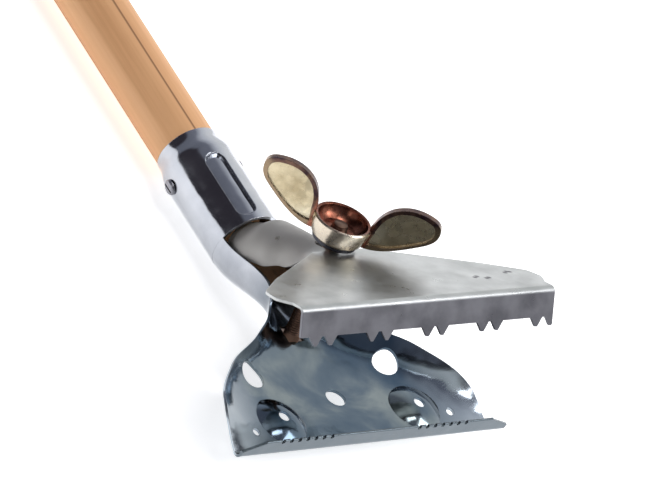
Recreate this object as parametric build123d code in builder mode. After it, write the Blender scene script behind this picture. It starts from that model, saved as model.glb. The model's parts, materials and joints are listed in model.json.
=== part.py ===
from build123d import *
import os
from math import cos, hypot, radians, sin

# Mop clamp: a wooden pole in a pressed-steel socket that opens out into the lower jaw, and a
# toothed upper jaw that a bolt and wing nut pull down on it.
#
# Millimetres. The pole runs along +Y, the jaws point along -Y, +Z is the wing-nut side and X is
# the jaw width. The origin is on the pole axis at the socket mouth. "f" is the distance forward
# of the mouth, so a point at f has y = -f. The jaws are open here, as they rest.

# ---- driving dimensions ----
SHEET = 1.4  # both jaws are pressed from this sheet
TUBE_SHEET = 1.7  # the rolled tube is a little thicker
FIT = 0.1  # gap between pieces that only touch

POLE_R = 15.6
SPIGOT_R = 14.75  # turned end of the pole, inside the socket
SPIGOT_LENGTH = 50.0
POLE_EXPOSED = 1150.0
POLE_TIP_FILLET = 11.0

SOCKET_R = 17.5  # middle of the sheet
MOUTH_R = 15.55
MOUTH_NECK = 12.0  # length over which the mouth opens to the full radius
RIM_F = 60.0  # front rim, where the top half of the tube ends
TROUGH_WRAP = 106.0  # the open trough covers this angle each side of its floor
SEAM_W, SEAM_AT = 0.7, 62.0  # slit where the rolled sheet meets, degrees round from the top
FEATURE_ROLL = -18.0  # flute and screws sit this far round from the jaws' centre plane

FLUTE_W, FLUTE_START, FLUTE_END = 10.5, 17.0, 57.0
FLUTE_R = 16.6  # outside of the pressed-in strip
FLUTE_SHEET = 1.0

SCREW_F, SCREW_R, SCREW_HEAD_R, SCREW_HEAD_H = 17.6, 2.0, 3.9, 1.9
SCREW_LENGTH = 13.0
SCREW_CLEAR = 0.15

LIP_F, LIP_LEFT, LIP_RIGHT, LIP_RISE, LIP_BEND = 184.0, 79.5, 87.0, 9.4, 3.0
LIP_TAPER, LIP_TAPER_DROP = 12.0, 5.0
LIP_NOTCH_R, LIP_NOTCH_PITCH, LIP_NOTCHES = 1.1, 5.0, 7
FLOOR_Z = -7.3  # middle of the sheet at the bolt
FLOOR = [(60, -SOCKET_R), (100, FLOOR_Z), (128, FLOOR_Z), (172, -4.6), (181, -4.3)]
FAN_HALF = [
    (96, 16), (105, 18.5), (114, 24.5), (123, 37), (132, 54),
    (142, 65.5), (152, 73.5), (165, 77.8), (177, 79.0), (181, 79.0),
]
SECTIONS = [
    60, 64, 68, 73, 78, 83, 88, 93, 98, 103, 108, 113,
    118, 123, 128, 133, 138, 144, 150, 156, 163, 170, 176, 180,
]
FAN_EDGE = [(96, 20), (112, 15), (132, 12.5), (160, 8.5), (176, 1.5), (180, 0)]
BIG_HOLE_R, BIG_HOLE_X, BIG_HOLE_F = 6.7, 42.0, 137.0
MID_HOLE_R, MID_HOLE_F = 5.2, 154.0
DOME_X, DOME_F, DOME_R, DOME_H, DOME_HOLE_R = 42.5, 165.5, 13.5, 4.2, 2.9
SMALL_HOLE_R, SMALL_HOLE_X, SMALL_HOLE_F = 2.0, 61.0, 170.5

BOLT_F, BOLT_R = 112.5, 4.0
BOLT_TILT = 11.5  # the bolt leans back towards the pole, square to the half-open jaw
BOLT_HEAD_R, BOLT_HEAD_H = 9.5, 4.2
BOLT_SQUARE, SQUARE_HOLE = 8.0, 9.6
BOLT_LENGTH = 68.0
HEAD_GAP = 2.0  # the leaning head only touches the sheet at one edge

PIVOT_F, PIVOT_Z = 59.0, 14.4  # the tongue rocks under the front rim
JAW_OPEN = 28.9
JAW_TOP = 4.2  # middle of the plate above the pivot, square to the plate
JAW_FRONT, JAW_HALF = 123.6, 79.0
# right edge of the fan from its neck to the front bend: (distance from the pivot, half width)
FAN_SIDE = [(57.6, 16.3), (87.5, 65.0), (100.5, 82.0), (109.5, 83.5), (116.5, JAW_HALF)]
DIMPLE_V, DIMPLE_DEG, DIMPLE_R = 26.0, 45.0, 1.3
# tongue across its arch: (distance from the pivot, value)
# half of the arc's length, then the degrees it covers each side of the crown, then the crown's height
TONGUE_ARC = [(-5, 20.7), (4, 26.2), (10, 27.6), (22, 26.4), (34, 21.5), (66, 14.0)]
TONGUE_WRAP = [(-5, 95), (12, 105), (30, 104), (66, 8)]
TONGUE_CROWN = [(-5, -2.8), (1, -1.4), (14, JAW_TOP), (66, JAW_TOP)]
TONGUE_END = 66
FLANGE_DEPTH, FLANGE_SPLAY, FLANGE_BEND = 11.3, 8.0, 2.4
TOOTH_H, TOOTH_W, TOOTH_GAP, TOOTH_PAIRS, TOOTH_PITCH = 4.2, 7.6, 9.2, 5, 34.6
TOOTH_SHIFT = 4.0  # the row of teeth starts further from the left corner
SLOT_V, SLOT_LENGTH, SLOT_W = 50.0, 14.5, 9.4

WASHER_R, WASHER_T = 11.0, 1.6
NUT_SEAT = 55.9  # washer's underside above the bolt's seat, along the bolt
NUT_BASE_R, NUT_TOP_R, NUT_HEIGHT = 12.6, 14.4, 10.6
CUP_R, CUP_FLOOR_R, CUP_DEPTH = 12.6, 8.8, 6.0  # hollow in the nut's top
NUT_BORE = BOLT_R + 0.05
WING_TURN = 45.0  # wings turned this far from the jaw width
WING_T, WING_DISH = 3.6, 1.15
JAW_BEND_V = JAW_FRONT - FLANGE_BEND
LEAF = [
    (11.6, 0.9), (18, 1.6), (28, 6.0), (37.5, 12.5), (44, 20), (43.5, 25.5), (37, 28.6), (28, 28.4),
    (19, 23.5), (14.4, 15.5), (13.2, 9),
]
DISH_X, DISH_Z, DISH_INSET = 29.5, 17.0, 0.17  # middle of a wing's dish, and its rim as a fraction


def smooth(a, b, v):
    """0 before a, 1 after b, and an even S between them."""
    t = min(1.0, max(0.0, (v - a) / (b - a)))
    return t * t * (3 - 2 * t)


def through(stations, v, ease=True):
    """Value at v through (place, value) stations."""
    for (a, p), (b, q) in zip(stations, stations[1:]):
        if v <= b:
            t = smooth(a, b, v) if ease else max(0.0, v - a) / (b - a)
            return p + (q - p) * t
    return stations[-1][1]


def sheet_point(q, f):
    """Middle of the lower sheet across, q from -1 to 1, at f."""
    floor = through(FLOOR, f)
    a = radians(q * TROUGH_WRAP)
    tube = (SOCKET_R * sin(a), floor + SOCKET_R - SOCKET_R * cos(a))
    power = 2.6 + 2.2 * smooth(100, 140, f)
    lift = through(FAN_EDGE, f, ease=False) * abs(q) ** power
    fan = (through(FAN_HALF, f, ease=False) * q, floor + lift)
    m = smooth(78, 112, f)
    return tuple(t * (1 - m) + p * m for t, p in zip(tube, fan))


def sheet_edge(f, side, count=24):
    """One face of the lower sheet at f, half a thickness off its middle."""
    points = []
    for k in range(count + 1):
        q = -1 + 2 * k / count
        (xa, za), (xb, zb) = sheet_point(q - 0.004, f), sheet_point(q + 0.004, f)
        length = hypot(xb - xa, zb - za)
        x, z = sheet_point(q, f)
        points.append((x - side * (zb - za) / length, z + side * (xb - xa) / length))
    return points


def band(upper, lower):
    """Closed profile between two rows of points."""
    Spline(*upper)
    Line(upper[-1], lower[-1])
    Spline(*lower)
    Line(lower[0], upper[0])


def arc_band(radius, wrap, crown):
    """Arched strip of sheet with its crown at the given height."""
    a = radians(wrap)
    centre = crown - radius
    for r in (radius + SHEET / 2, radius - SHEET / 2):
        tip = (r * sin(a), centre + r * cos(a))
        ThreePointArc((-tip[0], tip[1]), (0, centre + r), tip)
    for s in (-1, 1):
        ends = [(s * r * sin(a), centre + r * cos(a)) for r in (radius + SHEET / 2, radius - SHEET / 2)]
        Line(*ends)


bolt_axis = Plane(
    origin=(0, -BOLT_F, FLOOR_Z),
    x_dir=(1, 0, 0),
    z_dir=(0, sin(radians(BOLT_TILT)), cos(radians(BOLT_TILT))),
)
jaw_frame = Plane(
    origin=(0, -PIVOT_F, PIVOT_Z),
    x_dir=(1, 0, 0),
    z_dir=(0, sin(radians(JAW_OPEN)), cos(radians(JAW_OPEN))),
)
screw_reach = SOCKET_R + TUBE_SHEET / 2
SCREW_PLACES = [
    Rotation(0, FEATURE_ROLL, 0) * Pos(side * screw_reach, -SCREW_F, 0) * Rotation(0, side * 90, 0)
    for side in (-1, 1)
]



def leaf(shrink):
    """Edges of one wing's outline, drawn in towards its middle by a fraction."""
    points = [(x + (DISH_X - x) * shrink, z + (DISH_Z - z) * shrink) for x, z in LEAF]
    Spline(*points)
    Line(points[-1], points[0])


# ---- pole ----
with BuildPart() as pole:
    with BuildSketch(Plane.XY):
        with BuildLine():
            Polyline(
                (0, -SPIGOT_LENGTH), (SPIGOT_R - 1.5, -SPIGOT_LENGTH), (SPIGOT_R, -SPIGOT_LENGTH + 1.5),
                (SPIGOT_R, FIT), (POLE_R, FIT), (POLE_R, POLE_EXPOSED), (0, POLE_EXPOSED),
                (0, -SPIGOT_LENGTH),
            )
        make_face()
    revolve(axis=Axis.Y)
    fillet(pole.edges().filter_by(GeomType.CIRCLE).sort_by(Axis.Y)[-1], POLE_TIP_FILLET)
    # pilot holes for the two screws
    with Locations(*SCREW_PLACES):
        Hole(SCREW_R + SCREW_CLEAR, depth=SCREW_LENGTH + SCREW_HEAD_H)

# ---- socket and lower jaw: one pressed sheet ----
# flute pressed in along the front of the tube
flute_middle = -(FLUTE_START + FLUTE_END) / 2
flute_length = FLUTE_END - FLUTE_START
with BuildPart() as flute_cutter:
    with BuildSketch(Plane.XY):
        with Locations((0, flute_middle)):
            SlotOverall(flute_length, FLUTE_W, rotation=90)
    extrude(amount=SOCKET_R + 4)

with BuildPart() as flute:
    with BuildSketch(Plane.XY):
        with Locations((0, flute_middle)):
            SlotOverall(flute_length + 0.6, FLUTE_W + 0.6, rotation=90)
    extrude(amount=SOCKET_R + TUBE_SHEET / 2 - 0.4)
    with BuildSketch(Plane.XZ):
        Circle(FLUTE_R - FLUTE_SHEET)
    extrude(amount=RIM_F + 5, mode=Mode.SUBTRACT)
    with BuildSketch(Plane.XZ.offset(FLUTE_START + 1.2)):
        Circle(SOCKET_R + 4)
        Circle(FLUTE_R, mode=Mode.SUBTRACT)
    extrude(amount=flute_length - 2.4, mode=Mode.SUBTRACT)

# tube: necked at the mouth, full size down to the front rim
with BuildPart() as tube:
    inner, outer = SOCKET_R - TUBE_SHEET / 2, SOCKET_R + TUBE_SHEET / 2
    mouth_inner, mouth_outer = MOUTH_R - SHEET / 2, MOUTH_R + SHEET / 2
    with BuildSketch(Plane.XY):
        with BuildLine():
            Polyline((mouth_outer, 0), (mouth_inner, 0), (mouth_inner, -2))
            Spline((mouth_inner, -2), (inner, -MOUTH_NECK), tangents=[(0, -1), (0, -1)])
            Polyline((inner, -MOUTH_NECK), (inner, -RIM_F), (outer, -RIM_F), (outer, -MOUTH_NECK))
            Spline((outer, -MOUTH_NECK), (mouth_outer, -2), tangents=[(0, 1), (0, 1)])
            Line((mouth_outer, -2), (mouth_outer, 0))
        make_face()
    revolve(axis=Axis.Y)
    # slit where the rolled sheet meets
    with Locations(Rotation(0, SEAM_AT, 0) * Pos(0, -RIM_F / 2, SOCKET_R)):
        Box(SEAM_W, RIM_F + 2, 6, mode=Mode.SUBTRACT)
    with Locations(Rotation(0, FEATURE_ROLL, 0)):
        add(flute_cutter, mode=Mode.SUBTRACT)
        add(flute)

# upturned lip with tapered ends and a few nicks along its top
floor = FLOOR[-1][1]
lip_top = floor + LIP_RISE
with BuildPart() as lip:
    with BuildSketch(Plane.YZ) as lip_sketch:
        with BuildLine():
            FilletPolyline(
                (-SECTIONS[-1], floor), (-LIP_F + SHEET / 2, floor), (-LIP_F + SHEET / 2, lip_top),
                radius=LIP_BEND,
            )
            offset(amount=SHEET / 2, side=Side.BOTH, mode=Mode.REPLACE)
        make_face()
    extrude(amount=LIP_RIGHT)
    extrude(lip_sketch.sketch, amount=-LIP_LEFT)
    with BuildSketch(Plane.XZ.offset(LIP_F - 10)):
        for s, end in ((-1, LIP_LEFT), (1, LIP_RIGHT)):
            with BuildLine():
                Polyline(
                    (s * (end - LIP_TAPER), lip_top), (s * (end + 1), lip_top - LIP_TAPER_DROP),
                    (s * (end + 1), lip_top + 1), (s * (end - LIP_TAPER), lip_top + 1),
                    (s * (end - LIP_TAPER), lip_top),
                )
            make_face()
            with Locations((s * DOME_X, lip_top)):
                with GridLocations(LIP_NOTCH_PITCH, 1, LIP_NOTCHES, 1):
                    Circle(LIP_NOTCH_R)
    extrude(amount=20, mode=Mode.SUBTRACT)

# pressed dome, drawn with the top of its sheet at the origin
ball = (DOME_R**2 + DOME_H**2) / (2 * DOME_H)
with BuildPart() as pressed_dome:
    with Locations((0, 0, -ball)):
        Sphere(ball)
        Sphere(ball - SHEET, mode=Mode.SUBTRACT)
    with Locations((0, 0, -DOME_H / 2)):
        Cylinder(DOME_R + 0.5, DOME_H + 4, mode=Mode.INTERSECT)

with BuildPart() as socket_jaw:
    for f in SECTIONS:
        with BuildSketch(Plane.XZ.offset(f)):
            with BuildLine():
                band(sheet_edge(f, SHEET / 2), sheet_edge(f, -SHEET / 2))
            make_face()
    loft()
    add(tube)
    add(lip)
    with Locations((DOME_X, -DOME_F), (-DOME_X, -DOME_F)):
        Cylinder(DOME_R - 0.6, 40, mode=Mode.SUBTRACT)
    dome_top = floor + SHEET / 2 + DOME_H
    with Locations((DOME_X, -DOME_F, dome_top), (-DOME_X, -DOME_F, dome_top)):
        add(pressed_dome)
    # holes through the jaw
    with Locations((BIG_HOLE_X, -BIG_HOLE_F), (-BIG_HOLE_X, -BIG_HOLE_F)):
        Cylinder(BIG_HOLE_R, 60, mode=Mode.SUBTRACT)
    with Locations((0, -MID_HOLE_F)):
        Cylinder(MID_HOLE_R, 60, mode=Mode.SUBTRACT)
    with Locations((DOME_X, -DOME_F), (-DOME_X, -DOME_F)):
        Cylinder(DOME_HOLE_R, 60, mode=Mode.SUBTRACT)
    with Locations((SMALL_HOLE_X, -SMALL_HOLE_F), (-SMALL_HOLE_X, -SMALL_HOLE_F)):
        Cylinder(SMALL_HOLE_R, 60, mode=Mode.SUBTRACT)
    with Locations(bolt_axis):
        Box(SQUARE_HOLE, SQUARE_HOLE, 14, mode=Mode.SUBTRACT)
    with Locations(*SCREW_PLACES):
        Cylinder(SCREW_R + SCREW_CLEAR, 12, mode=Mode.SUBTRACT)

# ---- the two screws that pin the socket to the pole ----
with BuildPart() as pole_screws:
    with Locations(*SCREW_PLACES):
        with Locations((0, 0, FIT)):
            Cylinder(SCREW_HEAD_R, SCREW_HEAD_H, align=(Align.CENTER, Align.CENTER, Align.MIN))
            Cylinder(SCREW_R, SCREW_LENGTH, align=(Align.CENTER, Align.CENTER, Align.MAX))
    rims = pole_screws.edges().filter_by(GeomType.CIRCLE).group_by(Axis.X)
    fillet(rims[0] + rims[-1], SCREW_HEAD_H * 0.8)
    with Locations(*SCREW_PLACES):
        with Locations((0, 0, SCREW_HEAD_H + FIT)):
            Box(1.0, 6.0, 2.0, mode=Mode.SUBTRACT)

# ---- bolt: mushroom head under the jaw, square neck, shank up through the upper jaw ----
with BuildPart() as bolt_upright:
    Cylinder(BOLT_HEAD_R, BOLT_HEAD_H, align=(Align.CENTER, Align.CENTER, Align.MAX))
    fillet(bolt_upright.edges().filter_by(GeomType.CIRCLE).sort_by(Axis.Z)[0], BOLT_HEAD_H - 0.8)
    Box(BOLT_SQUARE, BOLT_SQUARE, 5.0, align=(Align.CENTER, Align.CENTER, Align.MIN))
    Cylinder(BOLT_R, BOLT_LENGTH, align=(Align.CENTER, Align.CENTER, Align.MIN))
    chamfer(bolt_upright.edges().filter_by(GeomType.CIRCLE).sort_by(Axis.Z)[-1], 0.8)

with BuildPart() as clamp_bolt:
    with Locations(bolt_axis.offset(-SHEET / 2 - HEAD_GAP)):
        add(bolt_upright)

# ---- upper jaw, drawn flat with the pivot at the origin and then tipped open ----
with BuildPart() as fan:
    with BuildSketch(Plane.XY.offset(JAW_TOP - SHEET / 2)):
        with BuildLine():
            right = [(half, -v) for v, half in FAN_SIDE] + [(JAW_HALF, -JAW_BEND_V)]
            left = [(-half, y) for half, y in reversed(right)]
            Polyline(*right, *left, right[0])
        make_face()
    extrude(amount=SHEET)
    corners = fan.edges().filter_by(Axis.Z)
    fillet([e for e in corners if abs(e.center().X) > JAW_HALF + 1], 5.0)

# arched tongue that runs back under the front rim
with BuildPart() as tongue:
    for v in range(int(TONGUE_ARC[0][0]), TONGUE_END + 1, 3):
        wrap = through(TONGUE_WRAP, v)
        radius = through(TONGUE_ARC, v) / radians(wrap)
        with BuildSketch(Plane.XZ.offset(v)):
            with BuildLine():
                arc_band(radius, wrap, through(TONGUE_CROWN, v))
            make_face()
    loft()

# toothed flange, bent down along the front
splay = radians(FLANGE_SPLAY)
deep = FLANGE_DEPTH + TOOTH_H
bend_y, bend_z = -JAW_BEND_V, JAW_TOP - FLANGE_BEND
edge = (bend_y - FLANGE_BEND * cos(splay), bend_z + FLANGE_BEND * sin(splay))
foot = (edge[0] - deep * sin(splay), edge[1] - deep * cos(splay))
with BuildPart() as flange:
    with BuildSketch(Plane.YZ):
        with BuildLine():
            Line((bend_y + 0.4, JAW_TOP), (bend_y, JAW_TOP))
            RadiusArc((bend_y, JAW_TOP), edge, -FLANGE_BEND)
            Line(edge, foot)
            offset(amount=SHEET / 2, side=Side.BOTH, mode=Mode.REPLACE)
        make_face()
    extrude(amount=JAW_HALF, both=True)
    # V teeth in pairs
    with BuildSketch(Plane.XZ.offset(JAW_FRONT - 12)):
        with Locations((0, foot[1] - SHEET)):
            Rectangle(2 * JAW_HALF + 2, TOOTH_H + SHEET, align=(Align.CENTER, Align.MIN))
        with GridLocations(TOOTH_PITCH, 1, TOOTH_PAIRS, 1):
            for s in (-1, 1):
                with Locations((TOOTH_SHIFT + s * TOOTH_GAP / 2, foot[1] + TOOTH_H / 2)):
                    Trapezoid(TOOTH_W, TOOTH_H + 0.4, 56, rotation=180, mode=Mode.SUBTRACT)
    extrude(amount=24, mode=Mode.SUBTRACT)

with BuildPart() as flat_jaw:
    add(fan)
    add(tongue)
    add(flange)
    with BuildSketch():
        with Locations((0, -SLOT_V)):
            SlotOverall(SLOT_LENGTH, SLOT_W, rotation=90)
    extrude(amount=20, mode=Mode.SUBTRACT)
    # small dimple on the tongue
    arch = through(TONGUE_ARC, DIMPLE_V) / radians(through(TONGUE_WRAP, DIMPLE_V))
    outside = arch + SHEET / 2
    turn = radians(DIMPLE_DEG)
    with Locations((-outside * sin(turn), -DIMPLE_V, JAW_TOP - arch + outside * cos(turn))):
        Sphere(DIMPLE_R, mode=Mode.SUBTRACT)

with BuildPart() as upper_jaw:
    with Locations(jaw_frame):
        add(flat_jaw)

# ---- washer and wing nut, near the open end of the bolt ----
with BuildPart() as washer:
    with Locations(bolt_axis.offset(NUT_SEAT)):
        Cylinder(WASHER_R, WASHER_T, align=(Align.CENTER, Align.CENTER, Align.MIN))
        Cylinder(BOLT_R + 0.3, 3 * WASHER_T, mode=Mode.SUBTRACT)

with BuildPart() as wing:
    with BuildSketch(Plane.XZ.offset(-WING_T / 2)):
        with BuildLine():
            leaf(0)
        make_face()
    extrude(amount=WING_T)
    for depth in (-WING_T / 2, WING_T / 2 - WING_DISH):
        with BuildSketch(Plane.XZ.offset(depth)):
            with BuildLine():
                leaf(DISH_INSET)
            make_face()
        extrude(amount=WING_DISH, mode=Mode.SUBTRACT)

with BuildPart() as nut_upright:
    with BuildSketch(Plane.XZ):
        with BuildLine():
            Polyline(
                (CUP_FLOOR_R, NUT_HEIGHT - CUP_DEPTH), (0, NUT_HEIGHT - CUP_DEPTH), (0, 0),
                (NUT_BASE_R - 1.2, 0), (NUT_BASE_R, 1.2),
            )
            Spline(
                (NUT_BASE_R, 1.2), (NUT_TOP_R - 0.5, NUT_HEIGHT / 2), (NUT_TOP_R, NUT_HEIGHT - 0.8),
            )
            Polyline(
                (NUT_TOP_R, NUT_HEIGHT - 0.8), (NUT_TOP_R - 0.7, NUT_HEIGHT), (CUP_R, NUT_HEIGHT - 0.4),
            )
            Spline(
                (CUP_R, NUT_HEIGHT - 0.4), (CUP_R - 1.0, NUT_HEIGHT - CUP_DEPTH / 2),
                (CUP_FLOOR_R, NUT_HEIGHT - CUP_DEPTH),
            )
        make_face()
    revolve(axis=Axis.Z)
    with Locations(Rotation(0, 0, 0), Rotation(0, 0, 180)):
        add(wing)
    Cylinder(NUT_BORE, 3 * NUT_HEIGHT, mode=Mode.SUBTRACT)

with BuildPart() as wing_nut:
    with Locations(bolt_axis.offset(NUT_SEAT + WASHER_T + FIT).location * Rotation(0, 0, -WING_TURN)):
        add(nut_upright)

os.makedirs("parts", exist_ok=True)
pole.part.label = "pole"
socket_jaw.part.label = "socket_jaw"
pole_screws.part.label = "pole_screws"
clamp_bolt.part.label = "clamp_bolt"
upper_jaw.part.label = "upper_jaw"
washer.part.label = "washer"
wing_nut.part.label = "wing_nut"
export_step(pole.part, "parts/pole.step")
export_step(socket_jaw.part, "parts/socket_jaw.step")
export_step(pole_screws.part, "parts/pole_screws.step")
export_step(clamp_bolt.part, "parts/clamp_bolt.step")
export_step(upper_jaw.part, "parts/upper_jaw.step")
export_step(washer.part, "parts/washer.step")
export_step(wing_nut.part, "parts/wing_nut.step")
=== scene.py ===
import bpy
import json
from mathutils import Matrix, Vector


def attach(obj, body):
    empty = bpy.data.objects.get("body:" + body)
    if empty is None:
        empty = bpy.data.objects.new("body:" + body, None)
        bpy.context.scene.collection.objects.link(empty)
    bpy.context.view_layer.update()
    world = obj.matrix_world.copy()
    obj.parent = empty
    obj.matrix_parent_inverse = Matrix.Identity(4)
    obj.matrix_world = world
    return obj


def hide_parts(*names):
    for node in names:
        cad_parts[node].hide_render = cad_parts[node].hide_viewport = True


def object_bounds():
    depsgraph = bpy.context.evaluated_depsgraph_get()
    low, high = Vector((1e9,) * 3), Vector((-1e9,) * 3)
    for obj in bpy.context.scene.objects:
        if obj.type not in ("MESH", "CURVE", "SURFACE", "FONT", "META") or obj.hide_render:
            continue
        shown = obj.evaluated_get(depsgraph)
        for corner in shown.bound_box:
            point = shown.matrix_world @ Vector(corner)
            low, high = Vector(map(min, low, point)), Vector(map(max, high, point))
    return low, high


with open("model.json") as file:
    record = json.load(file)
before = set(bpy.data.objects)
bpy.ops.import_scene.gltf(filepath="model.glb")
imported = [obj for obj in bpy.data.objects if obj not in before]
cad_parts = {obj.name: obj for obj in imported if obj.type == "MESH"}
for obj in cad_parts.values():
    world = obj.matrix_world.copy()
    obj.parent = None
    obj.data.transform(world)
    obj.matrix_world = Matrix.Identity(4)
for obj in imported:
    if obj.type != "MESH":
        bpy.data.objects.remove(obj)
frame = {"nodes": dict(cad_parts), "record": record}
cad_box = [list(map(float, corner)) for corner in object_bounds()]

import json
import math

import bmesh
import bpy
from mathutils import Matrix, Vector

nodes = frame["nodes"]
joints = {joint["name"]: joint for joint in frame["record"]["behaviour"]["joints"]}
MM = 0.001


# ---- node helpers ----
def material(name, **sockets):
    mat = bpy.data.materials.new(name)
    mat.use_nodes = True
    bsdf = mat.node_tree.nodes["Principled BSDF"]
    for socket, value in sockets.items():
        bsdf.inputs[socket.replace("_", " ")].default_value = value
    return mat, mat.node_tree, bsdf


def add(tree, kind, inputs=None, **props):
    node = tree.nodes.new("ShaderNode" + kind)
    for key, value in props.items():
        setattr(node, key, value)
    for key, value in (inputs or {}).items():
        if isinstance(value, bpy.types.NodeSocket):
            tree.links.new(value, node.inputs[key])
        else:
            node.inputs[key].default_value = value
    return node


def sums(tree, operation, *values):
    """A Math node's result."""
    return add(tree, "Math", dict(enumerate(values)), operation=operation).outputs[0]


def vectors(tree, operation, *values):
    """A VectorMath node's vector result."""
    return add(tree, "VectorMath", dict(enumerate(values)), operation=operation).outputs["Vector"]


def noise(tree, coords, scale, detail, **inputs):
    sockets = {"Vector": coords, "Scale": scale, "Detail": detail, **inputs}
    return add(tree, "TexNoise", sockets).outputs["Fac"]


def ramp(tree, fac, stops):
    node = add(tree, "ValToRGB", {"Fac": fac})
    while len(node.color_ramp.elements) < len(stops):
        node.color_ramp.elements.new(0.5)
    for element, (place, colour) in zip(node.color_ramp.elements, stops):
        element.position = place
        element.color = (*colour, 1)
    return node.outputs["Color"]


def mixed(tree, factor, a, b):
    """a where factor is 0, b where it is 1."""
    return add(tree, "Mix", {"Factor": factor, "A": a, "B": b}, data_type="RGBA").outputs[2]


def dot(tree, vector, direction):
    """How far along a direction a vector reaches."""
    node = add(tree, "VectorMath", {0: vector, 1: direction}, operation="DOT_PRODUCT")
    return node.outputs["Value"]


def step(tree, value, start, end):
    """0 at start, 1 at end, clamped."""
    node = add(tree, "MapRange", {"Value": value, "From Min": start, "From Max": end})
    return node.outputs["Result"]


# ---- materials: a pair of places is (start, end) of a step, in metres ----
# the wood's one dark line: its sway with the streaks, its shift across the pole, its half width
# from none to full, and the heights over which it comes in on the pole's upper side
LINE_SWAY, LINE_SHIFT = 0.006, 0.0005
LINE_WIDTH, LINE_HEIGHT = (0.0008, 0.0003), (0.0, 0.002)


def wood():
    """Varnished turned handle: long fine grain, a few darker streaks, a little bump."""
    mat, tree, bsdf = material(
        "wood", Roughness=0.5, Specular_IOR_Level=0.25, Coat_Weight=0.08, Coat_Roughness=0.2
    )
    coords = add(tree, "TexCoord").outputs["Object"]
    long = add(tree, "Mapping", {"Vector": coords, "Scale": (70, 2.4, 70)}).outputs["Vector"]
    grain = noise(tree, long, 1.7, 7, Roughness=0.62)
    tones = [(0.28, (0.66, 0.33, 0.150)), (0.5, (0.80, 0.44, 0.215)), (0.74, (0.88, 0.52, 0.27))]
    base = ramp(tree, grain, tones)
    sockets = {"Vector": coords, "Scale": (42, 0.9, 42), "Location": (0.3, 0, 0.1)}
    wide = add(tree, "Mapping", sockets)
    streak = noise(tree, wide.outputs["Vector"], 1.3, 3)
    mask = step(tree, streak, 0.60, 0.68)
    streaked = mixed(tree, mask, base, (0.50, 0.22, 0.09, 1))
    x, _, z = add(tree, "SeparateXYZ", {"Vector": coords}).outputs
    drift = sums(tree, "MULTIPLY_ADD", streak, LINE_SWAY, x)
    off = sums(tree, "ABSOLUTE", sums(tree, "ADD", drift, LINE_SHIFT))
    line = sums(tree, "MULTIPLY", step(tree, off, *LINE_WIDTH), step(tree, z, *LINE_HEIGHT))
    line = sums(tree, "MULTIPLY", line, 0.75)
    tree.links.new(mixed(tree, line, streaked, (0.20, 0.08, 0.04, 1)), bsdf.inputs["Base Color"])
    fine = add(tree, "Mapping", {"Vector": coords, "Scale": (900, 30, 900)}).outputs["Vector"]
    pores = noise(tree, fine, 1.0, 4)
    bump = add(tree, "Bump", {"Height": pores, "Strength": 0.08, "Distance": 0.0004})
    tree.links.new(bump.outputs["Normal"], bsdf.inputs["Normal"])
    return mat


def plated(name, colours, rough, scale, waviness, edge=0.0004):
    """Plated metal: cloudy tone and gloss, shallow waviness, fine scratches, softened edges."""
    mat, tree, bsdf = material(name, Metallic=1.0)
    coords = add(tree, "TexCoord").outputs["Object"]
    cloud = noise(tree, coords, scale, 5, Roughness=0.55)
    colour = ramp(tree, cloud, list(zip((0.32, 0.52, 0.70), colours)))
    smear = noise(tree, coords, scale * 3.1, 6)
    sockets = {"From Min": 0.3, "From Max": 0.7, "To Min": rough[0], "To Max": rough[1]}
    gloss = add(tree, "MapRange", {"Value": smear, **sockets})
    wave = noise(tree, coords, scale * 1.6, 2)
    rounded = add(tree, "Bevel", {"Radius": edge}).outputs["Normal"]
    sockets = {"Height": wave, "Strength": waviness, "Distance": 0.004, "Normal": rounded}
    bump = add(tree, "Bump", sockets)
    sockets = {"Vector": coords, "Scale": (220, 900, 900), "Rotation": (0, 0, 0.5)}
    drawn = add(tree, "Mapping", sockets)
    hair = noise(tree, drawn.outputs["Vector"], 1.4, 3)
    waved = bump.outputs["Normal"]
    sockets = {"Height": hair, "Strength": 0.03, "Distance": 0.0004, "Normal": waved}
    tree.links.new(add(tree, "Bump", sockets).outputs["Normal"], bsdf.inputs["Normal"])
    tree.links.new(gloss.outputs["Result"], bsdf.inputs["Roughness"])
    tree.links.new(colour, bsdf.inputs["Base Color"])
    return mat, tree, bsdf, coords, colour


# the lower jaw: along the pole's direction, where the scoop's painted shade and reflection comes in
# and where the lip's painted shade stands; and across, where the scoop's flanks get a painted
# highlight
SCOOP_SHADE, LIP_SHADE, FLANK_HIGHLIGHT = (-0.085, -0.112), (-0.1805, -0.1822), (0.046, 0.072)


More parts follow.
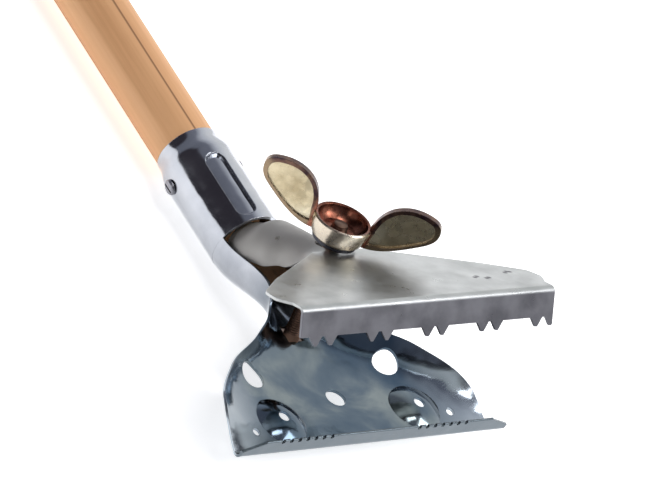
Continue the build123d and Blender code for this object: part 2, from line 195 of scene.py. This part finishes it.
def zinc():
    """Bright zinc on the socket; over the scoop of the jaw it is painted bluer and darker as
    painted shade and reflection, with a painted highlight on the flanks and a painted dark lip.
    """
    tones = ((0.40, 0.42, 0.46), (0.52, 0.54, 0.58), (0.60, 0.62, 0.65))
    mat, tree, bsdf, coords, bright = plated("bright_zinc", tones, (0.09, 0.17), 30, 0.16)
    cloud = noise(tree, coords, 26, 5, Distortion=0.6)
    # the scoop's blue-grey stands for the shaded upper jaw reflected in it: painted shade and
    # reflection
    tones = ((0.060, 0.098, 0.145), (0.115, 0.155, 0.195), (0.235, 0.275, 0.285))
    scoop_shade = ramp(tree, cloud, list(zip((0.34, 0.50, 0.64), tones)))
    along = dot(tree, coords, (0, 1, 0))
    scoop_shade_mask = step(tree, along, *SCOOP_SHADE)
    lip = step(tree, along, *LIP_SHADE)
    flank_highlight_mask = step(tree, sums(tree, "ABSOLUTE", dot(tree, coords, (1, 0, 0))), *FLANK_HIGHLIGHT)
    # the flanks are painted brighter: a painted highlight
    flank_highlight = mixed(tree, sums(tree, "MULTIPLY", flank_highlight_mask, 0.75), scoop_shade, (0.50, 0.55, 0.60, 1))
    # the lip is painted dark blue-grey: painted shade
    front = mixed(tree, lip, flank_highlight, (0.125, 0.150, 0.170, 1))
    tree.links.new(mixed(tree, scoop_shade_mask, bright, front), bsdf.inputs["Base Color"])
    return mat


# the upper jaw's own directions at rest, from its pivot
JAW_OPEN = math.radians(28.9)
PLATE_UP = Vector((0, math.sin(JAW_OPEN), math.cos(JAW_OPEN)))
PLATE_OUT = Vector((0, -math.cos(JAW_OPEN), math.sin(JAW_OPEN)))
PIVOT = Vector(joints["jaw_pivot"]["pos_m"])
# out and up from the pivot: the flange's two limits, where its painted shade comes in, and where
# the tongue's tarnish comes in
FLANGE_SHADE_OUT, FLANGE_SHADE_UP, TONGUE_OUT = (0.1205, 0.1225), (0.0042, 0.0022), (0.056, 0.044)
# small marks punched near the front right corner, each a dent with painted shade in it: (across,
# out) and their height in millimetres
PUNCHES = [
    (44.6, 104.6), (46.6, 103.6), (50.2, 106.8), (52.0, 106.2),
    (66.6, 101.8), (68.6, 100.6), (70.0, 101.2),
]
PUNCH_UP, PUNCH_RADIUS = 4.9, (0.0016, 0.0007)


def satin():
    """Satin zinc: pale on the flat fan, painted greyer on the flange as painted shade, tarnished
    towards the tongue.
    """
    tones = ((0.37, 0.385, 0.38), (0.47, 0.485, 0.48), (0.54, 0.555, 0.55))
    mat, tree, bsdf, coords, pale = plated("satin_zinc", tones, (0.27, 0.40), 38, 0.05)
    out = sums(tree, "ADD", dot(tree, coords, PLATE_OUT), -PIVOT.dot(PLATE_OUT))
    up = sums(tree, "ADD", dot(tree, coords, PLATE_UP), -PIVOT.dot(PLATE_UP))
    # the flange is painted a darker grey: painted shade on the folded-down face
    tones = [(0.35, (0.11, 0.11, 0.125)), (0.6, (0.18, 0.18, 0.20))]
    flange_shade = ramp(tree, noise(tree, coords, 60, 6), tones)
    flange = sums(tree, "MULTIPLY", step(tree, out, *FLANGE_SHADE_OUT), step(tree, up, *FLANGE_SHADE_UP))
    tongue = step(tree, out, *TONGUE_OUT)
    colour = mixed(tree, tongue, mixed(tree, flange, pale, flange_shade), (0.36, 0.35, 0.335, 1))
    # each punched dent is also painted dark: painted shade in the dent
    punch_dent_and_shade = 0.0
    for x, v in PUNCHES:
        spot = PIVOT + (Vector((x, 0, 0)) + PLATE_OUT * v + PLATE_UP * PUNCH_UP) * MM
        away = add(tree, "VectorMath", {0: coords, 1: spot}, operation="DISTANCE").outputs["Value"]
        punch_dent_and_shade = sums(tree, "MAXIMUM", punch_dent_and_shade, step(tree, away, *PUNCH_RADIUS))
    colour = mixed(tree, punch_dent_and_shade, colour, (0.10, 0.10, 0.11, 1))
    pit = add(tree, "Bump", {"Height": punch_dent_and_shade, "Strength": 0.8, "Distance": -0.0004})
    tree.links.new(bsdf.inputs["Normal"].links[0].from_socket, pit.inputs["Normal"])
    tree.links.new(pit.outputs["Normal"], bsdf.inputs["Normal"])
    tree.links.new(colour, bsdf.inputs["Base Color"])
    gloss = bsdf.inputs["Roughness"].links[0].from_socket
    tree.links.new(sums(tree, "MULTIPLY_ADD", tongue, 0.22, gloss), bsdf.inputs["Roughness"])
    tree.links.new(sums(tree, "MULTIPLY_ADD", tongue, -0.5, 1.0), bsdf.inputs["Metallic"])
    return mat


# the bolt's axis, and the wing nut's directions about it
BOLT_FOOT = Vector(joints["wing_nut_turn"]["pos_m"])
BOLT_UP = Vector(joints["wing_nut_turn"]["axis"])
WING_TURN = math.radians(-45)
ACROSS = Matrix.Rotation(WING_TURN, 3, BOLT_UP) @ Vector((1, 0, 0))
WING_FACE = BOLT_UP.cross(ACROSS)
# across: where the boss ends and the wings begin; and how far a rim stands out from a wing's middle
BOSS_SPAN, RIM_PROUD = (0.0156, 0.0140), (0.0010, 0.0015)
# a wing's middle line: a point on it and its normal, as (across, up), and the depth over which the
# upper rim's painted shade darkens
WING_RUN, WING_RISE = 0.012, 0.0626
NORMAL_RUN, NORMAL_RISE = -0.514, 0.857
UPPER_RIM_SHADE = (0.0, 0.004)


def brass():
    """Cast brass: creamy in the wings' dishes, painted brown along their rims and copper-brown in
    the cup, as painted shade.
    """
    tones = ((0.38, 0.31, 0.19), (0.56, 0.48, 0.32), (0.68, 0.61, 0.45))
    mat, tree, bsdf, coords, cream = plated("brass", tones, (0.20, 0.34), 70, 0.12, 0.0005)
    normal = add(tree, "TexCoord").outputs["Normal"]
    arm = vectors(tree, "SUBTRACT", coords, BOLT_FOOT)
    facing = sums(tree, "ABSOLUTE", dot(tree, normal, WING_FACE))
    proud = sums(tree, "ABSOLUTE", dot(tree, arm, WING_FACE))
    # rims, and faces turned edge-on to the wing, are painted dark: painted shade
    rim = sums(tree, "MAXIMUM", step(tree, facing, 0.8, 0.45), step(tree, proud, *RIM_PROUD))
    span = sums(tree, "ABSOLUTE", dot(tree, arm, ACROSS))
    boss = step(tree, span, *BOSS_SPAN)
    height = dot(tree, arm, BOLT_UP)
    level = add(tree, "VectorMath", {0: BOLT_UP, "Scale": height}, operation="SCALE")
    radial = vectors(tree, "SUBTRACT", arm, level.outputs["Vector"])
    radial = vectors(tree, "NORMALIZE", radial)
    # the cup's inward faces are painted brown as painted shade; its outward faces stay cream
    outward_lit = step(tree, dot(tree, normal, radial), 0.3, 0.8)
    grain = noise(tree, coords, 240, 4)
    brown = ramp(tree, grain, [(0.35, (0.12, 0.04, 0.025)), (0.65, (0.30, 0.115, 0.075))])
    edge = ramp(tree, grain, [(0.35, (0.050, 0.030, 0.038)), (0.65, (0.17, 0.10, 0.07))])
    boss_with_shade = mixed(tree, outward_lit, brown, (0.66, 0.58, 0.47, 1))
    # the rims are painted shade: each wing's upper rim is painted dark, its lower rim a lighter
    # brown
    rise = sums(tree, "ADD", height, -WING_RISE)
    run = sums(tree, "ADD", span, -WING_RUN)
    above = sums(tree, "MULTIPLY", run, NORMAL_RUN)
    above = sums(tree, "MULTIPLY_ADD", rise, NORMAL_RISE, above)
    edge = mixed(tree, step(tree, above, *UPPER_RIM_SHADE), (0.27, 0.20, 0.13, 1), edge)
    wings = mixed(tree, rim, cream, edge)
    tree.links.new(mixed(tree, boss, wings, boss_with_shade), bsdf.inputs["Base Color"])
    return mat


def dark(name, colour, rough):
    """Small steel pieces in one colour, mottled."""
    tones = [tuple(c * k for c in colour) for k in (0.6, 1.0, 1.3)]
    return plated(name, tones, (rough, rough + 0.12), 120, 0.06)[0]


FINISH = {
    "pole": wood(),
    "socket_jaw": zinc(),
    "pole_screws": dark("screw_steel", (0.3, 0.3, 0.33), 0.3),
    "clamp_bolt": dark("bolt_steel", (0.18, 0.11, 0.08), 0.35),
    "upper_jaw": satin(),
    # the washer is painted near-black: painted shade under the nut
    "washer": dark("washer_steel", (0.06, 0.06, 0.07), 0.4),
    "wing_nut": brass(),
}
for name, mat in FINISH.items():
    for slot in nodes[name].material_slots:
        slot.material = mat


# ---- bolt: round head, square neck and a rolled thread; lengths in millimetres ----
def turned(name, rows, columns, radius, place, mat):
    """Closed piece of rings up the bolt's axis, from radius(height, angle)."""
    mesh = bpy.data.meshes.new(name)
    bm = bmesh.new()
    rings = []
    for z in rows:
        ring = []
        for k in range(columns):
            a = 2 * math.pi * k / columns
            r = radius(z, a)
            away = (ACROSS * math.cos(a) + WING_FACE * math.sin(a)) * r
            ring.append(bm.verts.new(place + (away + BOLT_UP * z) * MM))
        rings.append(ring)
    for below, above in zip(rings, rings[1:]):
        for k in range(columns):
            n = (k + 1) % columns
            bm.faces.new((below[k], below[n], above[n], above[k]))
    bm.faces.new(list(reversed(rings[0])))
    bm.faces.new(rings[-1])
    for face in bm.faces:
        face.smooth = True
    bm.to_mesh(mesh)
    bm.free()
    obj = bpy.data.objects.new(name, mesh)
    bpy.context.collection.objects.link(obj)
    mesh.materials.append(mat)
    return obj


HEAD_R, HEAD_FLAT_R, HEAD_DEPTH, HEAD_RIM, HEAD_DOME = 9.5, 1.2, 4.2, 0.8, 3.4
NECK_HEIGHT, NECK_CORNER_R = 5.0, 5.3
SHANK_R, THREAD_PITCH, THREAD_DEPTH = 4.0, 1.25, 0.62
# the thread runs in over the first length and out before the tip's chamfer
RUN_IN, RUN_OUT, RUN_END = 1.5, 0.9, 67.9
CHAMFER, CHAMFER_START, TIP = 0.8, 67.2, 68.0
ROW_STEP, ROWS, COLUMNS = 0.157, 400, 48
# the head's seat, below the frame's point for the nut's joint
SEAT_DROP = 2.7


def bolt_radius(z, a):
    if z < 0:
        sunk = max(0.0, -z - HEAD_RIM) / HEAD_DOME
        dome = HEAD_R * math.sqrt(max(0.0, 1 - sunk**2))
        return min(HEAD_R, dome + (HEAD_FLAT_R if sunk else 0))
    if z < NECK_HEIGHT:
        return min(SHANK_R / max(abs(math.cos(a)), abs(math.sin(a))), NECK_CORNER_R)
    phase = (z / THREAD_PITCH - a / (2 * math.pi)) % 1
    crest = 1 - abs(2 * phase - 1)
    run = min(1.0, (z - NECK_HEIGHT) / RUN_IN, max(0.0, (RUN_END - z) / RUN_OUT))
    chamfer = CHAMFER * max(0.0, (z - CHAMFER_START) / CHAMFER)
    return SHANK_R - THREAD_DEPTH * (1 - crest) * run - chamfer


rows = [-HEAD_DEPTH + 0.3 * k for k in range(14)] + [-0.001, 0.0, NECK_HEIGHT - 0.001, NECK_HEIGHT]
rows += [NECK_HEIGHT + ROW_STEP * k for k in range(1, ROWS + 1)] + [TIP]
seat = BOLT_FOOT - BOLT_UP * SEAT_DROP * MM
bolt = turned("threaded_bolt", rows, COLUMNS, bolt_radius, seat, FINISH["clamp_bolt"])
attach(bolt, "frame")
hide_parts("clamp_bolt")

# ---- stage ----
FLOOR_SIZE, FLOOR_GAP = 12, 0.0005


def plane(name, size, place, mat):
    """A flat square that isn't part of the object."""
    mesh = bpy.data.meshes.new(name)
    obj = bpy.data.objects.new(name, mesh)
    bpy.context.collection.objects.link(obj)
    bm = bmesh.new()
    bmesh.ops.create_grid(bm, x_segments=1, y_segments=1, size=size)
    bm.to_mesh(mesh)
    bm.free()
    obj.location = place
    mesh.materials.append(mat)


ground = material(
    "floor", Roughness=0.95, Base_Color=(0.92, 0.92, 0.92, 1),
    Emission_Color=(1, 1, 1, 1), Emission_Strength=0.66,
)[0]
plane("floor", FLOOR_SIZE, (0, 0, cad_box[0][2] - FLOOR_GAP), ground)

# a dark side, a middling roof and a bright side, so that the plating has something to show
SKY_RUN = (0.94, 0.0, -0.34)
world = bpy.data.worlds.new("studio")
bpy.context.scene.world = world
world.use_nodes = True
sky = world.node_tree
aim = add(sky, "TexCoord").outputs["Generated"]
across = step(sky, dot(sky, aim, SKY_RUN), -1.0, 1.0)
tones = [
    (0.0, (0.50, 0.50, 0.52)), (0.06, (0.05, 0.045, 0.055)), (0.20, (0.045, 0.04, 0.05)),
    (0.26, (0.20, 0.21, 0.25)), (0.46, (0.24, 0.25, 0.30)), (0.62, (0.75, 0.77, 0.82)),
    (0.75, (1.0, 1.0, 1.0)),
]
background = sky.nodes["Background"]
sky.links.new(ramp(sky, across, tones), background.inputs["Color"])
background.inputs["Strength"].default_value = 1.0


def softbox(name, place, aim, size, power):
    """A soft area light at place, turned to aim."""
    light = bpy.data.lights.new(name, "AREA")
    light.shape = "RECTANGLE"
    light.size, light.size_y = size
    light.energy = power
    obj = bpy.data.objects.new(name, light)
    bpy.context.collection.objects.link(obj)
    obj.location = place
    obj.rotation_euler = (aim - Vector(place)).to_track_quat("-Z", "Y").to_euler()


# the point that the lights and the camera look at
centre = Vector((-0.0011, -0.1014, 0.0391))
softbox("key", (0.9, -0.9, 1.5), centre, (0.9, 0.9), 15)
softbox("top", (0.1, -0.1, 1.9), centre, (0.7, 0.7), 9)
softbox("left", (-1.4, -0.5, 0.7), centre, (0.5, 0.9), 2)

# ---- camera: from the front left and above, long lens ----
RIGHT = Vector((0.7445, -0.4783, 0.4658)).normalized()
UP = Vector((0.0559, 0.7399, 0.6704))
UP = (UP - RIGHT * UP.dot(RIGHT)).normalized()
OUT = RIGHT.cross(UP)
DISTANCE = 2.5
IMAGE_WIDTH, PIXELS_PER_MM, SENSOR = 648, 2.135, 36
camera = bpy.data.cameras.new("camera")
camera.sensor_width = SENSOR
camera.lens = SENSOR * DISTANCE / (IMAGE_WIDTH / PIXELS_PER_MM * MM)
camera.clip_end = 100
cam = bpy.data.objects.new("camera", camera)
bpy.context.collection.objects.link(cam)
turn = Matrix((RIGHT, UP, OUT)).transposed().to_4x4()
cam.matrix_world = Matrix.Translation(centre + OUT * DISTANCE) @ turn
bpy.context.scene.camera = cam
bpy.context.scene.view_settings.view_transform = "Standard"
